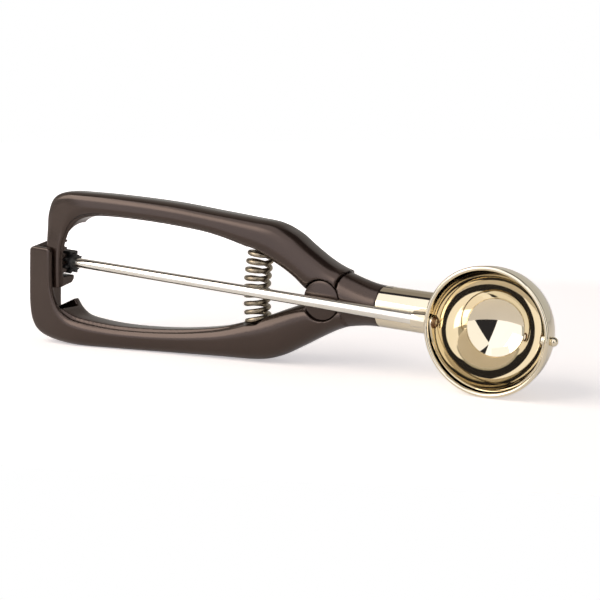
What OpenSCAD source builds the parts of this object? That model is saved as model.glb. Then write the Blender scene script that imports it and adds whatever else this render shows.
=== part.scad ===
// Lever ice cream scoop: squeezing the upper handle turns a rod and sweeps a scraper
// round the bowl. X runs along the drive rod towards the bowl, Y points away from the
// bowl's open side and Z is up. The origin is the bowl's centre, on the rod axis.

/* [Bowl] */
// Outer radius of the bowl
bowl_r = 21.2; // [17:0.1:26]
// Sheet thickness of the bowl
bowl_wall = 0.8; // [0.6:0.1:1.2]
// How far the mouth stands in front of the rod axis
mouth_rise = 2.8; // [2.2:0.1:4]
// Radius of the rolled bead on the rim
bead_r = 0.75; // [0.5:0.05:1]

/* [Scraper] */
// Thickness of the scraper band
scraper_wall = 0.7; // [0.5:0.1:1]
// Gap between the scraper and the bowl
scraper_gap = 0.35; // [0.25:0.05:0.6]
// Width of the band half way round
band_w = 7.4; // [5:0.1:10]
// Width of the band at its two ears
ear_w = 5.0; // [4.5:0.1:6]
// Angle between the parked band and the mouth plane
park_angle = 8; // [6:1:14]

/* [Drive rod] */
// Diameter of the drive rod
rod_d = 4; // [3:0.1:5]
// Radial play of the turning shafts in their bores
run_play = 0.06; // [0.02:0.01:0.1]
// Diameter of the turned ends of the rod
journal_d = 2.8; // [2:0.1:2.9]
// Diameter of the end pin's shank
end_pin_d = 2.4; // [1.8:0.1:3]
// Diameter of the end pin's ball head
ball_d = 3.1; // [2.8:0.1:4]

/* [Gear] */
// Module of the rack and pinion
gear_m = 1.0; // [0.9:0.05:1.1]
// Number of pinion teeth
teeth = 8; // [8:1:9]
// Length of the pinion
pinion_len = 9.4; // [8:0.1:12]
// Share of the pitch that each tooth fills
tooth_share = 0.40; // [0.36:0.01:0.44]

/* [Handles] */
// Pivot to the outer end of the handles
loop_len = 131.5; // [105:0.5:160]
// Height of the upper rail's top above the pivot
upper_rise = 29.9; // [26:0.1:35]
// Depth of the lower rail's underside below the pivot
lower_drop = 32.6; // [28:0.1:38]
// Half width of the rails
rail_half_w = 6.8; // [6:0.1:8]
// Distance of the neck's axis behind the rod axis
neck_set_back = 10.4; // [10:0.1:12]
// Neck end to pivot
neck_len = 22; // [20:0.5:26]

/* [Butt housing] */
// Thickness of the housing's front plate
plate_t = 2.1; // [1.6:0.1:3]
// Thickness of the housing's end wall
web_t = 3.2; // [2.6:0.1:4]
// Thickness of the arm behind the rack teeth
arm_wall = 2.35; // [1.8:0.05:3]
// Gap between the arm and the front plate
slide_gap = 0.35; // [0.25:0.05:0.5]
// Width of the arm along the rod
arm_w = 8; // [6:0.1:9]
// Room behind the pinion's teeth up to the end wall's rear edge
pinion_clear = 0.4; // [0.3:0.1:1]

/* [Pivot] */
// Diameter of the pivot pin
pivot_d = 5; // [3.5:0.1:6]
// Diameter of the round pivot caps
cap_d = 14.6; // [12:0.1:16]
// Thickness of each pivot cap
cap_t = 1.5; // [1.2:0.1:2]
// Thickness of the lever's eye
eye_t = 4.6; // [4:0.1:6]
// Side gap between the eye and the ears
eye_gap = 0.2; // [0.15:0.05:0.4]

/* [Spring] */
// Wire diameter of the return spring
wire_d = 1.9; // [1.4:0.1:2.2]
// Outer diameter of the return spring
spring_od = 10.4; // [9:0.1:11]
// Distance of the spring from the pivot
spring_arm = 30.3; // [26:0.1:34]
// Number of turns
turns = 8.5; // [6.5:0.5:9]

/* [Ferrule] */
// Outer diameter of the ferrule
ferrule_d = 14.7; // [13:0.1:16]
// Wall of the ferrule
ferrule_wall = 0.8; // [0.6:0.1:1.2]
// Ferrule length outside the bowl's radius
ferrule_len = 22.8; // [18:0.1:28]
// Depth of the plastic tang inside the ferrule
tang_len = 15; // [10:0.5:17]

/* [Hidden] */

eps = 0.01;
far = 60;

// Places along the rod
neck_x = -(bowl_r + ferrule_len);
pivot_x = neck_x - neck_len;
butt_x = pivot_x - loop_len;

// Gear and stroke
pitch_r = gear_m * teeth / 2;
tip_r = pitch_r + 0.95 * gear_m;
root_r = pitch_r - 1.2 * gear_m;
pitch = PI * gear_m;
pressure_angle = 20;
arm_x0 = butt_x + web_t + 3.3;
arm_x1 = arm_x0 + arm_w;
rack_arm = pivot_x - (arm_x0 + arm_x1) / 2;
sweep = 180 - 2 * park_angle;
squeeze = sweep * pitch_r / rack_arm;
stroke = rack_arm * sin(squeeze);

// Planes of the housing, from the rack to the front; its rear is open
rack_root_y = -(pitch_r + 1.25 * gear_m);
arm_front = rack_root_y - arm_wall;
channel_front = arm_front - slide_gap;
butt_front = channel_front - plate_t;
channel_rear = tip_r + pinion_clear;
butt_half_w = (channel_rear - butt_front) / 2;
butt_y = butt_front + butt_half_w;
arm_half_w = butt_half_w - plate_t - slide_gap;

// The handles lean: their middle plane nears the rod along a curve that ends flat at
// the housing
lean = 0.05;
lean_angle = atan(lean);
lean_from = pivot_x + 6;
flat_s = lean_from - (arm_x1 + 2);
ease = 7;
bend_s = flat_s - 2 * ease;
lean_bend = (neck_set_back - butt_y - lean * (bend_s + ease)) / (bend_s * (bend_s + 2 * ease));
end_slope = lean + 2 * lean_bend * bend_s;
function mid_y(x) =
    let (s = lean_from - x)
    s <= 0 ? neck_set_back - lean * s
    : s <= bend_s ? neck_set_back - lean * s - lean_bend * s * s
    : butt_y + end_slope * pow(max(0, flat_s - s), 2) / (4 * ease);
pivot_y = mid_y(pivot_x);

// Rows are drawn from the pivot at these reference sizes. The last stretch before the
// butt and the part near the rod keep their size when a handle is made longer or higher.
ref_len = 131.5;
ref_rise = 29.9;
ref_drop = 32.6;
ref_neck = 22;
hold_x = 30;
hold_z = 12;
function along(x) = pivot_x
    + (x > 0 ? x * neck_len / ref_neck
    : x < hold_x - ref_len ? x + ref_len - loop_len
    : x * (loop_len - hold_x) / (ref_len - hold_x));
function lift(z, k) = abs(z) < hold_z ? z : sign(z) * (hold_z + (abs(z) - hold_z) * k);
function real_rows(rows, k) = [for (r = rows)
    [along(r[0]), lift(r[1], k), along(r[2]), lift(r[3], k), r[4], r[5], r[6]]];
rise_k = (upper_rise - hold_z) / (ref_rise - hold_z);
drop_k = (lower_drop - hold_z) / (ref_drop - hold_z);
butt_w = butt_half_w;
w = rail_half_w;

// Rows of a rail: outer edge, inner edge, half width and squareness of the section, and
// the depth of the groove along its inner front edge
lower_rows = [
    [-131.8, 12, -120, 12, butt_w, 12, 0],
    [-131.8, 2, -120, 2, butt_w, 12, 0],
    [-132, -8, -119.9, -6, butt_w, 12, 0],
    [-131.9, -17, -119.4, -11, butt_w, 12, 0],
    [-130.2, -25.8, -117, -16.4, butt_w, 9, 0.3],
    [-124.6, -30.8, -112.4, -19.7, butt_w, 5, 0.9],
    [-111, -32.6, -105.5, -21.4, w + 0.6, 3.6, 1.2],
    [-90, -31.6, -88, -22.2, w + 0.3, 3.2, 1.2],
    [-66, -29.9, -66, -20.5, w, 3, 1.1],
    [-43, -28.1, -45, -16.8, w, 3, 0.8],
    [-27, -26.8, -31, -12.1, w, 3, 0.3],
    [-18.5, -24.4, -23, -9, w, 2.9, 0],
    [-10.5, -19.9, -15.5, -5.6, w, 2.8, 0],
    [-2.5, -15, -8, -2.6, w + 0.1, 2.6, 0],
    [4, -11.3, 0, -1.6, w + 0.2, 2.4, 0],
    [9.5, -8.9, 8, -0.5, w + 0.2, 2.2, 0]];
neck_r = ferrule_d / 2;
neck_rows = [
    [2.5, -11.5, 2.5, 12.4, w + 0.2, 2.3, 0],
    [7.5, -9.6, 7.5, 10.6, w + 0.3, 2.2, 0],
    [12.5, -8.4, 12.5, 9.1, neck_r - 0.15, 2.1, 0],
    [17.5, -neck_r - 0.25, 17.5, neck_r + 0.55, neck_r - 0.05, 2.05, 0],
    [22, -neck_r, 22, neck_r + 0.05, neck_r, 2, 0]];
foot_low = -10.3;
arm_rows = [
    [arm_x0, foot_low, arm_x1 - 0.2, foot_low, arm_half_w, 7, 0],
    [arm_x0, foot_low + 1.5, arm_x1, foot_low + 1.5, arm_half_w, 7, 0.3],
    [arm_x0, -2, arm_x1, -2, arm_half_w, 7, 0.9],
    [arm_x0, 4, arm_x1 + 0.2, 4, arm_half_w, 7, 0.9],
    [arm_x0 + 0.1, 9, arm_x1 + 1.4, 8.8, arm_half_w, 6, 0.9]];
upper_rows = [
    [-124.8, 14, -113.8, 12.9, arm_half_w, 5, 0.9],
    [-124.3, 20, -111.6, 16.2, arm_half_w + 0.2, 4.6, 0.9],
    [-121.6, 26.3, -108, 18.8, arm_half_w + 0.5, 4, 0.9],
    [-115.4, 29.3, -103.2, 20.3, arm_half_w + 0.9, 3.4, 0.9],
    [-104, 29.9, -97, 21, w - 0.3, 3.2, 0.9],
    [-86, 29.8, -85, 21.1, w, 3.1, 0.9],
    [-66, 29.1, -67, 20.4, w, 3, 0.9],
    [-48, 27.7, -50, 18.9, w, 3, 0.7],
    [-32, 26.5, -36, 15.9, w, 3, 0.3],
    [-22, 25.6, -27, 13.2, w, 2.9, 0],
    [-14.3, 22.8, -19, 9.6, w, 2.8, 0],
    [-8, 18.7, -13, 6.2, w, 2.7, 0],
    [-1.3, 14.7, -7, 2, w + 0.1, 2.6, 0],
    [4.5, 12.1, 1, 0.8, w + 0.2, 2.4, 0],
    [10.5, 10.5, 9.5, 1, w + 0.3, 2.2, 0]];

// Pivot stack along Y
cap_front_y = pivot_y - rail_half_w + 0.1;
ear_front_y = cap_front_y + cap_t;
ear_rear_y = 2 * pivot_y - ear_front_y;
cap_rear_y = 2 * pivot_y - cap_front_y;
ear_r = cap_d / 2;
ear_clear = 0.4;

// Seam between the lever and the neck: an arc bulging towards the pivot
seam_r = 7.2;
seam_x = 13.2;
seam_z = 5.8;

// Spring: a helix whose axis is a slight arc bowed away from the pivot
coil_r = (spring_od - wire_d) / 2;
bow_r = 70;
bow_x = pivot_x - spring_arm + bow_r;
spring_low = -11;
spring_high = 12.6;
spring_y = mid_y(pivot_x - spring_arm);
seat_r = spring_od / 2 + 0.5;
seat_play = 0.3;
post_r = coil_r - wire_d / 2 - 0.5;
post_h = 2.6;
rings_per_turn = 8;
wire_sides = 6;

// Scraper and bowl
bowl_in_r = bowl_r - bowl_wall;
scraper_r = bowl_in_r - scraper_gap;
scraper_in_r = scraper_r - scraper_wall;

brown = [0.33, 0.27, 0.25];
chrome = [0.85, 0.84, 0.80];

// ---- Shared shapes ----

function sgn_pow(v, p) = sign(v) * pow(abs(v), p);

// Catmull-Rom curve through rows of numbers, n steps for each span
function curve_at(a, b, c, d, t) =
    0.5 * (2 * b + (c - a) * t + (2 * a - 5 * b + 4 * c - d) * t * t
        + (3 * b - a - 3 * c + d) * t * t * t);
function smooth_rows(rows, n) =
    let (last = len(rows) - 1)
    [for (i = [0:last - 1], k = [0:n - 1])
        curve_at(rows[max(i - 1, 0)], rows[i], rows[i + 1], rows[min(i + 2, last)], k / n),
     rows[last]];

// One closed section of a rail, a superellipse between its outer and inner edge. A grooved
// section has a notch on its inner side, near the front.
notch_from = 200;
notch_to = 219;
notch_angles = concat([for (i = [0:12]) [15 * (i + 0.5), 0]],
    [[notch_from, 0], [notch_from + 0.8, 1], [notch_to - 0.8, 1], [notch_to, 0]],
    [for (i = [15:23]) [15 * (i + 0.5), 0]]);
function plain_angles(sides) = [for (i = [0:sides - 1]) [360 * (i + 0.5) / sides, 0]];
function section(row, angles) =
    let (
        ox = row[0], oz = row[1], ix = row[2], iz = row[3], p = 2 / row[5],
        cx = (ox + ix) / 2, cz = (oz + iz) / 2,
        notch = 2 * row[6] / norm([ox - ix, oz - iz]))
    [for (a = angles)
        let (
            u = sgn_pow(cos(a[0]), p) + notch * a[1],
            v = sgn_pow(sin(a[0]), p),
            x = cx + (ox - ix) / 2 * u)
        [x, mid_y(x) + row[4] * v, cz + (oz - iz) / 2 * u]];

// Skin over a list of rings that all have the same number of points
module skin(rings, flip = false) {
    n = len(rings[0]);
    m = len(rings);
    points = [for (r = rings) each r];
    side = [for (j = [0:m - 2], i = [0:n - 1])
        let (a = j * n + i, b = j * n + (i + 1) % n, c = b + n, d = a + n)
        each [[a, b, c], [a, c, d]]];
    start = [for (i = [1:n - 2]) [0, i + 1, i]];
    end = [for (i = [1:n - 2]) [(m - 1) * n, (m - 1) * n + i, (m - 1) * n + i + 1]];
    faces = concat(side, start, end);
    polyhedron(points, flip ? [for (f = faces) [f[2], f[1], f[0]]] : faces);
}

module rail(rows, flip, angles = notch_angles) {
    skin([for (r = smooth_rows(rows, 4)) section(r, angles)], flip);
}

// A cylinder along X, from x0 to x1
module bar_x(x0, x1, r, y = 0, z = 0, fn = 48) {
    translate([x0, y, z])
        rotate([0, 90, 0])
            cylinder(h = x1 - x0, r = r, $fn = fn);
}

// A cylinder along Y at the pivot, from y0 to y1
module bar_pivot(y0, y1, r, fn = 64) {
    translate([pivot_x, y0, 0])
        rotate([-90, 0, 0])
            cylinder(h = y1 - y0, r = r, $fn = fn);
}

module block(low, high) {
    translate(low)
        cube(high - low);
}

// The disc that shapes the seam, turned about the pivot
module seam_disc(grow, turn = 0) {
    translate([pivot_x, 0, 0])
        rotate([0, turn, 0])
            translate([seam_x, 0, seam_z])
                rotate([-90, 0, 0])
                    cylinder(h = far, r = seam_r + grow, $fn = 96);
}

// Children placed on the spring's axis at an angle, +Z along the axis
module on_spring(angle) {
    translate([bow_x, spring_y, 0])
        rotate([0, angle, 0])
            translate([-bow_r, 0, 0])
                children();
}

module neck_axis(x) {
    translate([x, mid_y(x), 0])
        rotate([0, 0, lean_angle])
            rotate([0, 90, 0])
                children();
}

// ---- Handles ----

tab_w = 3.6;
tab_len = 5.5;
tang_r = ferrule_d / 2 - ferrule_wall - 0.03;

// Pointed tab that locks the tang in the ferrule's slot
module lock_tab(grow) {
    linear_extrude(ferrule_d / 2 - tang_r + 1 + grow)
        polygon([[-1, -tab_w / 2 - grow], [tab_len - 2, -tab_w / 2 - grow],
            [tab_len + grow, 0], [tab_len - 2, tab_w / 2 + grow], [-1, tab_w / 2 + grow]]);
}

module place_tab() {
    translate([neck_x, mid_y(neck_x), 0])
        rotate([0, 0, lean_angle])
            translate([0, 0, tang_r - 1])
                children();
}

foot_rear_y = 1.2;
plate_top = 5.9;
top_tilt = 11;
top_round = 2.2;
pocket_floor = foot_low - stroke - 1.4;
pocket_x1 = arm_x1 + 1.6;
bush_r = 3.2;
bush_flange_r = 4.4;
bush_flange_t = 1;
bush_depth = 2.2;

module lower_body() {
    rail(real_rows(lower_rows, drop_k), true);
    // neck, full height right of the seam
    intersection() {
        rail(real_rows(neck_rows, 1), true, plain_angles(32));
        union() {
            seam_disc(0);
            block([pivot_x + seam_x - 3, -far, -far], [neck_x, far, far]);
            block([pivot_x + 4, -far, -far], [neck_x, far, 0]);
        }
    }
    // ears beside the lever's eye
    bar_pivot(ear_front_y, ear_rear_y, ear_r);
    // tang inside the ferrule
    neck_axis(neck_x - 1)
        cylinder(h = tang_len + 1, r = tang_r, $fn = 64);
    place_tab()
        lock_tab(0);
}

module lower_handle() {
    color(brown)
        difference() {
            lower_body();
            // room for the lever's arm and its foot, open towards the bowl and the rear
            block([butt_x + web_t, channel_front, pocket_floor], [pocket_x1, foot_rear_y + 0.4, far]);
            translate([0, foot_rear_y + 0.3, 0])
                mirror([0, 1, 0])
                    rotate([90, 0, 0])
                        linear_extrude(far)
                            polygon([[butt_x + web_t, -21], [arm_x1 - 0.6, -15.7],
                                [arm_x1 + 4, -13.4], [arm_x1 + 4, far], [butt_x + web_t, far]]);
            // flat butt end and slanting top
            block([butt_x - far, -far, -far], [butt_x, far, far]);
            housing_top_cut();
            // seat of the rod's bush
            bar_x(butt_x + web_t - bush_depth, butt_x + web_t + 1, bush_r);
            // slot for the eye, and room for the lever's web above it
            bar_pivot(pivot_y - eye_t / 2 - eye_gap, pivot_y + eye_t / 2 + eye_gap, ear_r + 0.8);
            // recesses of the pivot caps
            bar_pivot(cap_front_y - far, ear_front_y, ear_r + 0.3);
            bar_pivot(ear_rear_y, cap_rear_y + far, ear_r + 0.3);
            bar_pivot(ear_front_y - 1, ear_rear_y + 1, pivot_d / 2);
            // spring seat
            on_spring(spring_low)
                spring_pocket();
        }
}

// All above the housing's top, which rises to the rear and is rounded at both ends
module housing_top_cut() {
    inner = butt_x + web_t + 8.4;
    translate([0, butt_front, plate_top])
        rotate([90 + top_tilt, 0, 0])
            translate([0, 0, -40])
                linear_extrude(50)
                    difference() {
                        translate([butt_x - 10, -top_round])
                            square([inner - butt_x + 30, 40]);
                        translate([butt_x + top_round, -top_round])
                            circle(r = top_round, $fn = 48);
                        translate([butt_x + top_round, -top_round - 1])
                            square([inner - butt_x - 2 * top_round, top_round + 1]);
                        translate([inner - top_round, -top_round])
                            circle(r = top_round, $fn = 48);
                    }
}

// Round pocket with a post for one end of the spring
module spring_pocket() {
    difference() {
        cylinder(h = 12, r = seat_r, $fn = 48);
        translate([0, 0, -1])
            cylinder(h = post_h + 1, r = post_r, $fn = 48);
    }
}

// One straight rack tooth, its ridge along X and pointing to +Y
module rack_tooth(x0, x1) {
    half = tooth_share * pitch / 2;
    slope = tan(pressure_angle);
    add = 0.95 * gear_m;
    ded = 1.25 * gear_m + 0.05;
    translate([x0, -pitch_r, 0])
        rotate([90, 0, 90])
            linear_extrude(x1 - x0)
                polygon([[-ded, -half - ded * slope], [add, -half + add * slope],
                    [add, half - add * slope], [-ded, half + ded * slope]]);
}

module upper_handle() {
    window_r = tip_r + 0.5;
    foot_gap = window_r;
    first_tooth = -1;
    last_tooth = ceil(stroke / pitch) + 1;
    color(brown) {
        difference() {
            union() {
                rail(concat(arm_rows, real_rows(upper_rows, rise_k)), false);
                // eye on the pivot pin
                bar_pivot(pivot_y - eye_t / 2 - 0.6, pivot_y + eye_t / 2 + 0.6, ear_r);
            }
            // room for the ears and caps of the lower handle
            bar_pivot(-far, pivot_y - eye_t / 2, ear_r + ear_clear);
            bar_pivot(pivot_y + eye_t / 2, far, ear_r + ear_clear);
            bar_pivot(-far, far, pivot_d / 2 + run_play);
            // seam against the neck, at rest and squeezed
            seam_disc(0.35);
            seam_disc(0.35, squeeze);
            block([pivot_x + seam_x - 3, -far, -far], [0, far, far]);
            // room for the lower handle under the pivot
            difference() {
                block([pivot_x - 14, -far, -far], [pivot_x + 14, far, 0.4]);
                bar_pivot(-far, far, ear_r + ear_clear);
            }
            // window that clears the pinion over the whole stroke, and the foot's outline
            block([arm_x0 - 4, rack_root_y, -foot_gap], [arm_x1 + 6, far, stroke]);
            intersection() {
                bar_x(arm_x0 - 4, arm_x1 + 6, window_r, 0, stroke);
                block([arm_x0 - 5, rack_root_y, stroke - eps], [arm_x1 + 7, far, far]);
            }
            translate([arm_x0 - 4, 0, 0])
                rotate([90, 0, 90])
                    linear_extrude(arm_w + 8)
                        polygon([[foot_rear_y, -foot_gap + 1], [foot_rear_y, foot_low + 3.2],
                            [foot_rear_y - 1.2, foot_low + 1.7], [arm_front, foot_low + 0.1],
                            [arm_front, foot_low - 9], [far, foot_low - 9],
                            [far, -foot_gap + 1]]);
            // spring seat
            on_spring(spring_high)
                mirror([0, 0, 1])
                    spring_pocket();
        }
        for (k = [first_tooth:last_tooth])
            translate([pivot_x, 0, 0])
                rotate([0, k * pitch / rack_arm * 180 / PI, 0])
                    translate([-pivot_x, 0, 0])
                        rack_tooth(arm_x0 + 0.4, arm_x1 - 0.2);
    }
}

// ---- Pivot ----

module pivot_pin() {
    color("silver")
        bar_pivot(ear_front_y - 0.9, ear_rear_y + 0.9, pivot_d / 2);
}

// Slightly domed cap with a socket that grips the end of the pivot pin
module pivot_cap() {
    crown = 0.35;
    color(brown)
        difference() {
            rotate_extrude($fn = 96)
                polygon([[0, 0], [ear_r - 0.1, 0], [ear_r - 0.1, cap_t - crown - 0.3],
                    [ear_r - 0.4, cap_t - crown], [ear_r * 0.6, cap_t - crown * 0.25],
                    [0, cap_t]]);
            translate([0, 0, -1])
                cylinder(h = 1.9, r = pivot_d / 2, $fn = 64);
        }
}

module front_pivot_cap() {
    translate([pivot_x, ear_front_y, 0])
        rotate([90, 0, 0])
            pivot_cap();
}

module rear_pivot_cap() {
    translate([pivot_x, ear_rear_y, 0])
        rotate([-90, 0, 0])
            pivot_cap();
}

// ---- Return spring ----

// Point of the wire's centre line at turn t
coil_start = spring_low + (wire_d / 2 + 0.06) / bow_r * 180 / PI;
coil_end = spring_high - (wire_d / 2 + seat_play) / bow_r * 180 / PI;
function coil_point(t) =
    let (
        deg = coil_start + (coil_end - coil_start) * t / turns,
        a = 360 * t)
    [bow_x, spring_y, 0] + [-cos(deg), 0, sin(deg)] * (bow_r + coil_r * cos(a))
        + [0, 1, 0] * coil_r * sin(a);
wire_path = [for (i = [0:turns * rings_per_turn]) coil_point(i / rings_per_turn)];
function unit(v) = v / norm(v);
function tangent(p, i) = unit(p[min(i + 1, len(p) - 1)] - p[max(i - 1, 0)]);
// Carry a side vector along the path so that the tube doesn't twist
function carried(p, i, prev) = unit(prev - tangent(p, i) * (prev * tangent(p, i)));
function sides_along(p) = [for (i = 0, v = carried(p, 0, [0, 1, 0]); i < len(p);
    i = i + 1, v = carried(p, min(i, len(p) - 1), v)) v];
function least_gap(p) = min([for (i = [0:len(p) - 1], j = [i + rings_per_turn / 2:len(p) - 1])
    if (j < len(p)) norm(p[i] - p[j])]) - wire_d;

module return_spring() {
    side = sides_along(wire_path);
    echo(spring_gap_mm = least_gap(wire_path));
    rings = [for (i = [0:len(wire_path) - 1])
        let (u = side[i], v = cross(tangent(wire_path, i), u))
        [for (k = [0:wire_sides - 1])
            wire_path[i] + (u * cos(360 * k / wire_sides) + v * sin(360 * k / wire_sides))
                * wire_d / 2]];
    color([0.45, 0.38, 0.28])
        skin(rings, true);
}

// ---- Drive ----

pinion_x0 = arm_x0 + 0.9;
pinion_x1 = pinion_x0 + pinion_len;
ear_x = -scraper_r;

module drive_rod() {
    flat_cut = rod_d / 2 - 0.4;
    color(chrome)
        difference() {
            union() {
                bar_x(pinion_x0 - 0.2, ear_x - 0.1, rod_d / 2);
                bar_x(butt_x + web_t - bush_depth + 0.4, pinion_x0, journal_d / 2);
                bar_x(ear_x - 1, ear_x + 1.5, journal_d / 2);
            }
            // flat that keys the pinion
            block([pinion_x0 - 1, -far, flat_cut], [pinion_x1 - 1, far, far]);
        }
}

// Involute flank of a pinion tooth
base_r = pitch_r * cos(pressure_angle);
function inv_angle(r) =
    let (c = min(1, base_r / r), a = acos(c))
    tan(a) * 180 / PI - a;
half_tooth = tooth_share * 180 / teeth;
function flank_angle(r) = half_tooth + inv_angle(pitch_r) - inv_angle(max(r, base_r));
flank_radii = [for (k = [0:4]) base_r + (tip_r - base_r) * k / 4];
// Teeth stand either side of -Y, where a rack tooth sits at rest
pinion_outline = [for (t = [0:teeth - 1])
    let (a0 = 180 + 360 * (t + 0.5) / teeth)
    each concat(
        [root_r * [cos(a0 - flank_angle(base_r)), sin(a0 - flank_angle(base_r))]],
        [for (r = flank_radii) r * [cos(a0 - flank_angle(r)), sin(a0 - flank_angle(r))]],
        [for (k = [4:-1:0]) let (r = flank_radii[k])
            r * [cos(a0 + flank_angle(r)), sin(a0 + flank_angle(r))]],
        [root_r * [cos(a0 + flank_angle(base_r)), sin(a0 + flank_angle(base_r))]])];

module pinion() {
    hub_t = 1.4;
    color([0.1, 0.1, 0.11])
        difference() {
            union() {
                translate([pinion_x0, 0, 0])
                    rotate([90, 0, 90])
                        linear_extrude(pinion_len - hub_t)
                            polygon(pinion_outline);
                bar_x(pinion_x1 - hub_t - eps, pinion_x1, root_r + 0.5);
            }
            difference() {
                bar_x(pinion_x0 - 1, pinion_x1 + 1, rod_d / 2);
                block([pinion_x0 - 2, -far, rod_d / 2 - 0.4], [pinion_x1 - 1, far, far]);
            }
        }
}

// Flanged bush that carries the rod's turned end in the butt
module butt_bush() {
    color("burlywood")
        difference() {
            union() {
                bar_x(butt_x + web_t - bush_depth, butt_x + web_t, bush_r);
                bar_x(butt_x + web_t, butt_x + web_t + bush_flange_t, bush_flange_r);
            }
            bar_x(butt_x, butt_x + web_t + 5, journal_d / 2 + run_play);
        }
}

// ---- Bowl end ----

module ferrule() {
    color(chrome)
        difference() {
            neck_axis(neck_x - 1)
                cylinder(h = ferrule_len + bowl_r, r = ferrule_d / 2, $fn = 96);
            neck_axis(neck_x - 2)
                cylinder(h = ferrule_len + bowl_r + 2, r = ferrule_d / 2 - ferrule_wall, $fn = 96);
            sphere(r = bowl_r, $fn = 96);
            block([-bowl_r / 4, -far, -far], [far, far, far]);
            place_tab()
                translate([0, 0, 0.5])
                    lock_tab(0.05);
            block([neck_x - far, -far, -far], [neck_x, far, far]);
        }
}

collar_len = 5.2;
collar_r = rod_d / 2 + 0.75;

// Small bearing that holds the rod off the ferrule beside the bowl
module rod_collar() {
    x1 = -(bowl_r + 0.5);
    x0 = x1 - collar_len;
    color(chrome)
        difference() {
            union() {
                bar_x(x0, x1, collar_r);
                block([x0, 0, -collar_r], [x1, mid_y(x1) - ferrule_d / 2 + 2, collar_r]);
            }
            bar_x(x0 - 1, x1 + 1, rod_d / 2 + run_play);
            neck_axis(neck_x)
                cylinder(h = ferrule_len + bowl_r, r = ferrule_d / 2, $fn = 96);
        }
}

module bowl() {
    color(chrome)
        difference() {
            rotate([-90, 0, 0])
                rotate_extrude($fn = 120) {
                    difference() {
                        union() {
                            circle(r = bowl_r, $fn = 120);
                            translate([0, -mouth_rise])
                                square([bowl_r, mouth_rise]);
                        }
                        circle(r = bowl_in_r, $fn = 120);
                        translate([-far, -mouth_rise - 1])
                            square([far + bowl_in_r, mouth_rise + 1]);
                        translate([-2 * far, -far])
                            square([2 * far, 2 * far]);
                        translate([-far, -far - mouth_rise])
                            square([2 * far, far]);
                    }
                    translate([bowl_r + 0.4 - bead_r, -mouth_rise])
                        circle(r = bead_r, $fn = 32);
                }
            bar_x(-bowl_r - 2, -bowl_r + 4, rod_d / 2 + 0.15);
            bar_x(bowl_r - 4, bowl_r + 2, end_pin_d / 2);
        }
}

// Half-round band that turns with the rod and sweeps the inside of the bowl
module scraper() {
    bulge = (band_w - ear_w) / 2;
    arc_r = (scraper_r * scraper_r + bulge * bulge) / (2 * bulge);
    past = asin(ear_w / 2 / scraper_r) + 0.6;
    color(chrome)
        rotate([park_angle, 0, 0])
            difference() {
                intersection() {
                    rotate([-90, 0, 0])
                        rotate([0, 0, -past])
                            rotate_extrude(angle = 180 + 2 * past, $fn = 120)
                                intersection() {
                                    difference() {
                                        circle(r = scraper_r, $fn = 120);
                                        circle(r = scraper_in_r, $fn = 120);
                                    }
                                    translate([0, -band_w / 2])
                                        square([far, band_w]);
                                }
                    union() {
                        translate([0, 0, -scraper_r - 1])
                            linear_extrude(scraper_r + 1)
                                band_outline(arc_r);
                        bar_x(-scraper_r - 1, scraper_r + 1, ear_w / 2);
                    }
                }
                bar_x(-scraper_r - 1, 0, journal_d / 2);
                bar_x(0, scraper_r + 1, end_pin_d / 2 + run_play);
            }
}

// The band seen flat: widest half way, narrowing to the ears
module band_outline(arc_r) {
    intersection() {
        translate([0, arc_r - band_w / 2])
            circle(r = arc_r, $fn = 360);
        translate([0, band_w / 2 - arc_r])
            circle(r = arc_r, $fn = 360);
        square([2 * scraper_r + 1, band_w], center = true);
    }
}

module scraper_rivet() {
    head_r = 2.2;
    x0 = -scraper_in_r + 0.2;
    color("peru")
        difference() {
            union() {
                bar_x(x0, x0 + 0.6, head_r);
                bar_x(x0 + 0.6 - eps, x0 + 1.1, head_r - 0.6);
            }
            bar_x(x0 - 1, ear_x + 1.5, journal_d / 2);
        }
}

// Pin that carries the scraper's free ear: small head inside, ball head outside
module ball_pin() {
    inner_head_r = 1.9;
    inner_head_t = 0.7;
    inner_x = sqrt(scraper_in_r * scraper_in_r - inner_head_r * inner_head_r) - 0.15;
    color(chrome)
        rotate([0, 90, 0])
            rotate_extrude($fn = 64) {
                translate([0, inner_x - inner_head_t])
                    square([inner_head_r, inner_head_t]);
                translate([0, inner_x - eps])
                    square([end_pin_d / 2, bowl_r + 0.5 - inner_x]);
                intersection() {
                    translate([0, bowl_r + 0.8])
                        circle(r = ball_d / 2, $fn = 64);
                    translate([0, bowl_r + 0.02])
                        square([ball_d, ball_d + 1]);
                }
            }
}

lower_handle();
upper_handle();
pivot_pin();
front_pivot_cap();
rear_pivot_cap();
return_spring();
drive_rod();
pinion();
butt_bush();
ferrule();
rod_collar();
bowl();
scraper();
scraper_rivet();
ball_pin();
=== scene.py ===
"""Lever ice cream scoop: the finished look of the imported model, in metres, in the same frame."""
import math

import bmesh
import bpy
import numpy as np
from mathutils import Matrix, Vector


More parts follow.
